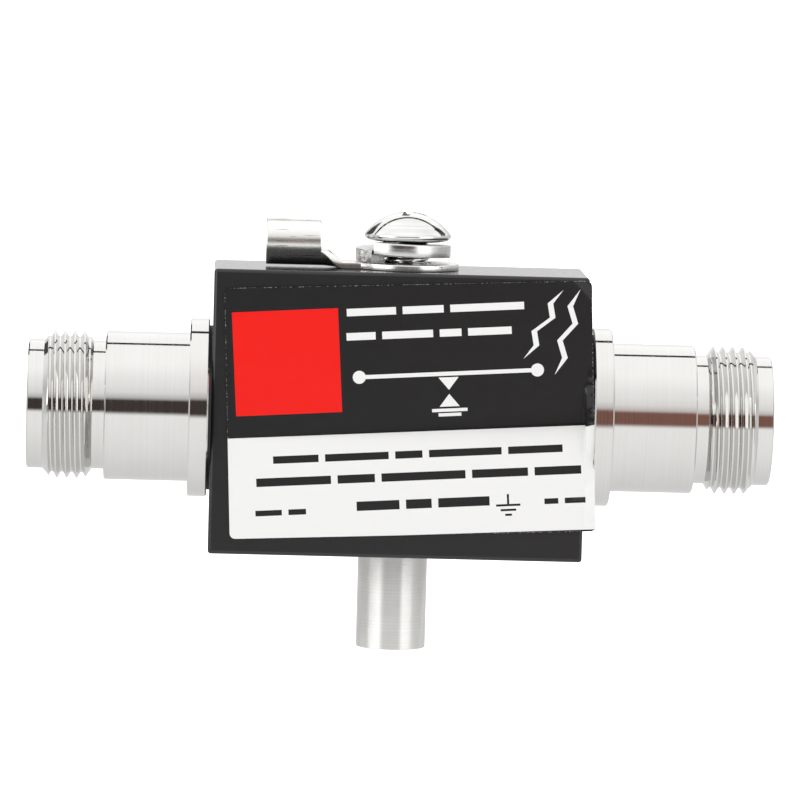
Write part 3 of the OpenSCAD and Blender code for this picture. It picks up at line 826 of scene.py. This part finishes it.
def frontLabel():
    w, h = label["w"], label["h"]
    outline = labelOutline()
    fields = printFields()
    panelLeft, panelRight = (toLabel(x, z)[1] for x, z in label["panelTop"])
    shadowLineFrom, shadowLineTo, shadowLineUp = label["shadowLineFrom"], w / 2 - label["shadowLineShort"], label["shadowLineUp"]
    points, edges = [], []

    def chain(path, closed=True):
        first = len(points)
        points.extend(path)
        last = len(points) - 1
        edges.extend((i, i + 1) for i in range(first, last))
        if closed:
            edges.append((last, first))

    chain(outline)
    for polygon, ink in fields:
        chain(polygon)
    chain([(-w / 2, panelLeft), (w / 2, panelRight)], False)
    chain([(shadowLineFrom, -h / 2), (shadowLineTo, -h / 2 + shadowLineUp)], False)
    (x, lastX), (stepX, stepZ), edgeIn = strip["gridX"], strip["gridStep"], strip["gridIn"]
    while x < lastX:                               # close points where the strip bends
        z, lastZ = strip["gridZ"]
        while z < lastZ:
            u, v = toLabel(x, z)
            if abs(u) < w / 2 - edgeIn and abs(v) < h / 2 - edgeIn:
                points.append((u, v))
            z += stepZ
        x += stepX
    found = delaunay_2d_cdt([Vector(p) for p in points], edges, [], 0, 1e-5)
    flat, triangles = found[0], found[2]

    made = bmesh.new()
    plane = made.loops.layers.uv.new("labelPlane")
    verts = []
    for u, v in flat:
        x, out, z = labelBend(*fromLabel(u, v))
        verts.append(made.verts.new(Vector((blockMid + x, blockFront - out, z)) * mm))
    for triangle in triangles:
        u = sum(flat[i][0] for i in triangle) / 3
        v = sum(flat[i][1] for i in triangle) / 3
        panelTop = panelLeft + (panelRight - panelLeft) * (u / w + 0.5)
        # black below this sloped line is painted shadow along the label's bottom edge
        shadowLineTop = -h / 2 + shadowLineUp * (u - shadowLineFrom) / (shadowLineTo - shadowLineFrom)
        ink = white if shadowLineTop < v < panelTop else black
        for polygon, fieldInk in fields:
            if inside((u, v), polygon):
                ink = fieldInk
        face = made.faces.new([verts[i] for i in triangle])
        face.material_index = ink
        for loop, i in zip(face.loops, triangle):
            loop[plane].uv = (flat[i][0] / w + 0.5, flat[i][1] / h + 0.5)
    inks = [labelFilm("blackPrintedVinyl", "#212122", "#8f8f8d"),
            labelFilm("whitePrintedVinyl", "#efefee", "#e6e6e4"),
            labelFilm("redPrintedVinyl", "#f1170f", "#8f8f8d")]
    piece = makePiece("frontLabel", made, inks, "block", "front_label")
    thick = piece.modifiers.new("film", "SOLIDIFY")
    thick.thickness = label["t"] * mm
    thick.offset = -1 if piece.data.polygons[0].normal.y < 0 else 1
    applyModifiers(piece, label["sharpAngle"])
    return piece


frontLabel()
print("label cut, printed and stuck on")


# Floor, light and camera
tent = {
    "top": 1.38, "front": 1.12, "side": 0.67, "back": 1.0, "seen": 1.1, "fill": 0.1,
    "topFrom": (30, 80), "backTopFrom": (8, 32), "sideFrom": (70, 100), "backFrom": (150, 172),
    "ground": 1.17, "groundBack": 0.8, "groundEdge": (-11.4, -3.4),
    "gapUp": (0, 40), "gapAcross": (26, 36), "gapDark": "#48413e", "gapBrown": "#92685d",
    "gapFade": [(0.31, 1.0), (0.42, 0.43), (0.51, 0.28), (0.63, 0.1), (0.9, 0.0)],
    "brownFade": [(0.02, 0.0), (0.06, 1.0), (0.1, 1.0), (0.14, 0.0)],   # just right of the middle
}


def softTent():
    # white tent over white ground: brighter overhead, with a dark gap in front for the camera
    world = bpy.data.worlds.new("softTent")
    scene.world = world
    world.use_nodes = True
    tree = world.node_tree
    tree.nodes.clear()
    eased = {"interpolation_type": "SMOOTHSTEP"}
    span = {name: {"From Min": math.radians(tent[name][0]), "From Max": math.radians(tent[name][1])}
            for name, value in tent.items() if isinstance(value, tuple)}
    fadeIn, fadeOut = {"To Min": 0.0, "To Max": 1.0}, {"To Min": 1.0, "To Max": 0.0}
    where = addNode(tree, "ShaderNodeTexCoord")
    way = addNode(tree, "ShaderNodeSeparateXYZ", {}, {"Vector": (where, "Generated")})
    rise = addNode(tree, "ShaderNodeMath", {"operation": "ARCSINE"}, {0: (way, "Z")})
    front = addNode(tree, "ShaderNodeMath", {"operation": "MULTIPLY"}, {0: (way, "Y"), 1: -1.0})
    side = addNode(tree, "ShaderNodeMath", {"operation": "ARCTAN2"}, {0: (way, "X"), 1: (front, "Value")})
    sideAway = addNode(tree, "ShaderNodeMath", {"operation": "ABSOLUTE"}, {0: (side, "Value")})

    sideLevel = addNode(tree, "ShaderNodeMapRange", eased,
                        {"Value": (sideAway, "Value"), **span["sideFrom"],
                         "To Min": tent["front"], "To Max": tent["side"]})
    backLevel = addNode(tree, "ShaderNodeMapRange", eased,
                        {"Value": (sideAway, "Value"), **span["backFrom"],
                         "To Min": 0.0, "To Max": tent["back"] - tent["side"]})
    low = addNode(tree, "ShaderNodeMath", {"operation": "ADD"},
                  {0: (sideLevel, "Result"), 1: (backLevel, "Result")})
    upFront = addNode(tree, "ShaderNodeMapRange", eased,
                      {"Value": (rise, "Value"), **span["topFrom"], **fadeIn})
    upBack = addNode(tree, "ShaderNodeMapRange", eased,
                     {"Value": (rise, "Value"), **span["backTopFrom"], **fadeIn})
    behind = addNode(tree, "ShaderNodeMapRange", eased,
                     {"Value": (way, "Y"), "From Min": -0.2, "From Max": 0.2})
    up = addNode(tree, "ShaderNodeMix", {"data_type": "FLOAT"},
                 {"Factor": (behind, "Result"), "A": (upFront, "Result"), "B": (upBack, "Result")})
    lift = addNode(tree, "ShaderNodeMix", {"data_type": "FLOAT"},
                   {"Factor": (up, "Result"), "A": (low, "Value"), "B": tent["top"]})
    cloth = addNode(tree, "ShaderNodeCombineColor", {},
                    {"Red": (lift, "Result"), "Green": (lift, "Result"), "Blue": (lift, "Result")})

    gapSide = addNode(tree, "ShaderNodeMapRange", eased,
                      {"Value": (sideAway, "Value"), **span["gapAcross"], **fadeOut})
    gapRise = addNode(tree, "ShaderNodeMapRange", {},
                      {"Value": (rise, "Value"), **span["gapUp"], **fadeIn})
    gapEdge = addNode(tree, "ShaderNodeValToRGB",   # crisp upper edge under a soft shade
                      {"ramp": [(place, grey(level)) for place, level in tent["gapFade"]]},
                      {"Fac": (gapRise, "Result")})
    gap = addNode(tree, "ShaderNodeMath", {"operation": "MULTIPLY"},
                  {0: (gapSide, "Result"), 1: (gapEdge, "Color")})
    toRight = addNode(tree, "ShaderNodeValToRGB",
                      {"ramp": [(place, grey(level)) for place, level in tent["brownFade"]]},
                      {"Fac": (way, "X")})
    gapTint = addNode(tree, "ShaderNodeMix", {"data_type": "RGBA"},
                      {"Factor": (toRight, "Color"),
                       "A": srgb(tent["gapDark"]), "B": srgb(tent["gapBrown"])})
    tint = addNode(tree, "ShaderNodeMix", {"data_type": "RGBA"},
                   {"Factor": (gap, "Value"), "A": (cloth, "Color"), "B": (gapTint, "Result")})

    groundLevel = addNode(tree, "ShaderNodeMapRange", {},
                          {"Value": (way, "Y"), "From Min": -1.0, "From Max": 1.0,
                           "To Min": tent["ground"], "To Max": tent["groundBack"]})
    paper = addNode(tree, "ShaderNodeCombineColor", {},
                    {"Red": (groundLevel, "Result"), "Green": (groundLevel, "Result"),
                     "Blue": (groundLevel, "Result")})
    below = addNode(tree, "ShaderNodeMapRange", eased,
                    {"Value": (rise, "Value"), **span["groundEdge"], **fadeOut})
    grounded = addNode(tree, "ShaderNodeMix", {"data_type": "RGBA"},
                       {"Factor": (below, "Result"), "A": (tint, "Result"), "B": (paper, "Color")})
    path = addNode(tree, "ShaderNodeLightPath")
    shown = addNode(tree, "ShaderNodeMix", {"data_type": "RGBA"},
                    {"Factor": (path, "Is Camera Ray"), "A": (grounded, "Result"),
                     "B": grey(tent["seen"])})
    fill = addNode(tree, "ShaderNodeMath", {"operation": "MULTIPLY_ADD"},
                   {0: (path, "Is Diffuse Ray"), 1: tent["fill"], 2: 1.0})
    light = addNode(tree, "ShaderNodeBackground", {},
                    {"Color": (shown, "Result"), "Strength": (fill, "Value")})
    addNode(tree, "ShaderNodeOutputWorld", {}, {"Surface": (light, "Background")})


def stageSheet(name, corners, material):
    made = bmesh.new()
    made.faces.new([made.verts.new(corner) for corner in corners])
    mesh = bpy.data.meshes.new(name)
    made.to_mesh(mesh)
    made.free()
    mesh.materials.append(material)
    sheet = bpy.data.objects.new(name, mesh)
    scene.collection.objects.link(sheet)
    return sheet


def onlyMirrored(sheet):
    sheet.visible_camera = False
    sheet.visible_diffuse = False
    sheet.visible_shadow = False
    sheet.visible_transmission = False


floor = {"half": 30.0, "drop": 0.011, "glow": 0.5}   # the cap comes 9 mm down when it is unscrewed
cards = {   # metres, and degrees round from the front
    "leftSoftbox": {"towards": -60, "away": 0.36, "half": 0.138, "foot": 0.0, "top": 0.34, "level": 2.55},
    "rightSoftbox": {"towards": 50, "away": 0.36, "half": 0.12, "foot": 0.0, "top": 0.34, "level": 2.05},
    "leftFlag": {"towards": -143, "away": 0.5, "half": 0.115, "foot": 0.163, "top": 0.4, "level": 0.08},
    "rightFlag": {"towards": 133, "away": 0.5, "half": 0.07, "foot": 0.29, "top": 0.56, "level": 0.08},
}
rib = {"start": (-25, 15.8, 48.6), "end": (95, 18.9, 45.7), "half": 2.1}   # millimetres


def studioFloor(z):
    # matt white paper, brightened for the camera so that it burns out as in the photo
    paper = mouldedSurface("mattWhitePaper", "#eeeeee", "#f2f2f2", (0.85, 0.95), 0.6, 0.002)
    tree = paper.node_tree
    path = addNode(tree, "ShaderNodeLightPath")
    glow = addNode(tree, "ShaderNodeMath", {"operation": "MULTIPLY"},
                   {0: (path, "Is Camera Ray"), 1: floor["glow"]})
    shader = tree.nodes["Principled BSDF"]
    shader.inputs["Emission Color"].default_value = grey(1.0)
    tree.links.new(glow.outputs["Value"], shader.inputs["Emission Strength"])
    h = floor["half"]
    sheet = stageSheet("studioFloor", [(-h, -h, z), (h, -h, z), (h, h, z), (-h, h, z)], paper)
    sheet.visible_glossy = False   # bright metal mirrors the tent's ground instead


def standingCard(name, floorZ):
    # bright diffusers stand at the front corners, dark flags behind to draw the edges
    card = cards[name]
    material, tree, shader, where = newSurface(
        name, {"Base Color": grey(0.0), "Roughness": 1.0, "Specular IOR Level": 0.0,
               "Emission Color": grey(1.0)})
    patch = addNode(tree, "ShaderNodeTexNoise", {}, {"Vector": (where, "Object"), "Scale": 3.0})
    level = addNode(tree, "ShaderNodeMapRange", {},
                    {"Value": (patch, "Fac"), "To Min": card["level"] * 0.9, "To Max": card["level"] * 1.1})
    tree.links.new(level.outputs["Result"], shader.inputs["Emission Strength"])
    a = math.radians(card["towards"])
    centre = Vector((blockMid * mm, 0, 0)) + card["away"] * Vector((math.sin(a), -math.cos(a), 0))
    along = card["half"] * Vector((math.cos(a), math.sin(a), 0))
    foot, top = Vector((0, 0, floorZ + card["foot"])), Vector((0, 0, floorZ + card["top"]))
    onlyMirrored(stageSheet(name, [centre - along + foot, centre + along + foot,
                                   centre + along + top, centre - along + top], material))


def tentRib():
    # dark rib of the tent overhead, which draws a thin line on the jacks and an arch on the screw
    cloth = mouldedSurface("blackTentRib", "#101010", "#181818", (0.9, 1.0), 1.0, 0.01)
    start, end = Vector(rib["start"]), Vector(rib["end"])
    across = rib["half"] * Vector((0, -start.z, start.y)).normalized()
    corners = [start - across, end - across, end + across, start + across]
    onlyMirrored(stageSheet("tentRib", [corner * mm for corner in corners], cloth))


camera = {"place": (-20.71, -679.0, 58.19), "yaw": 1.776, "pitch": -4.786, "roll": 1.568,
          "lens": 284.5, "sensor": 36, "clip": (0.02, 200)}


def photoCamera():
    data = bpy.data.cameras.new("photoCamera")
    data.sensor_width = camera["sensor"]
    data.lens = camera["lens"]
    data.clip_start, data.clip_end = camera["clip"]
    eye = bpy.data.objects.new("photoCamera", data)
    scene.collection.objects.link(eye)
    turnZ = Matrix.Rotation(-math.radians(camera["yaw"]), 4, "Z")
    tipX = Matrix.Rotation(math.radians(90 + camera["pitch"]), 4, "X")
    rollZ = Matrix.Rotation(math.radians(camera["roll"]), 4, "Z")
    stand = Vector(camera["place"]) + Vector((blockMid, 0, 0))   # counted from the block's middle
    eye.matrix_world = Matrix.Translation(stand * mm) @ turnZ @ tipX @ rollZ
    scene.camera = eye


softTent()
floorZ = cadLow.z - floor["drop"]
studioFloor(floorZ)
for cardName in cards:
    standingCard(cardName, floorZ)
tentRib()
photoCamera()
scene.view_settings.view_transform = "Standard"
print("floor, light and camera set")
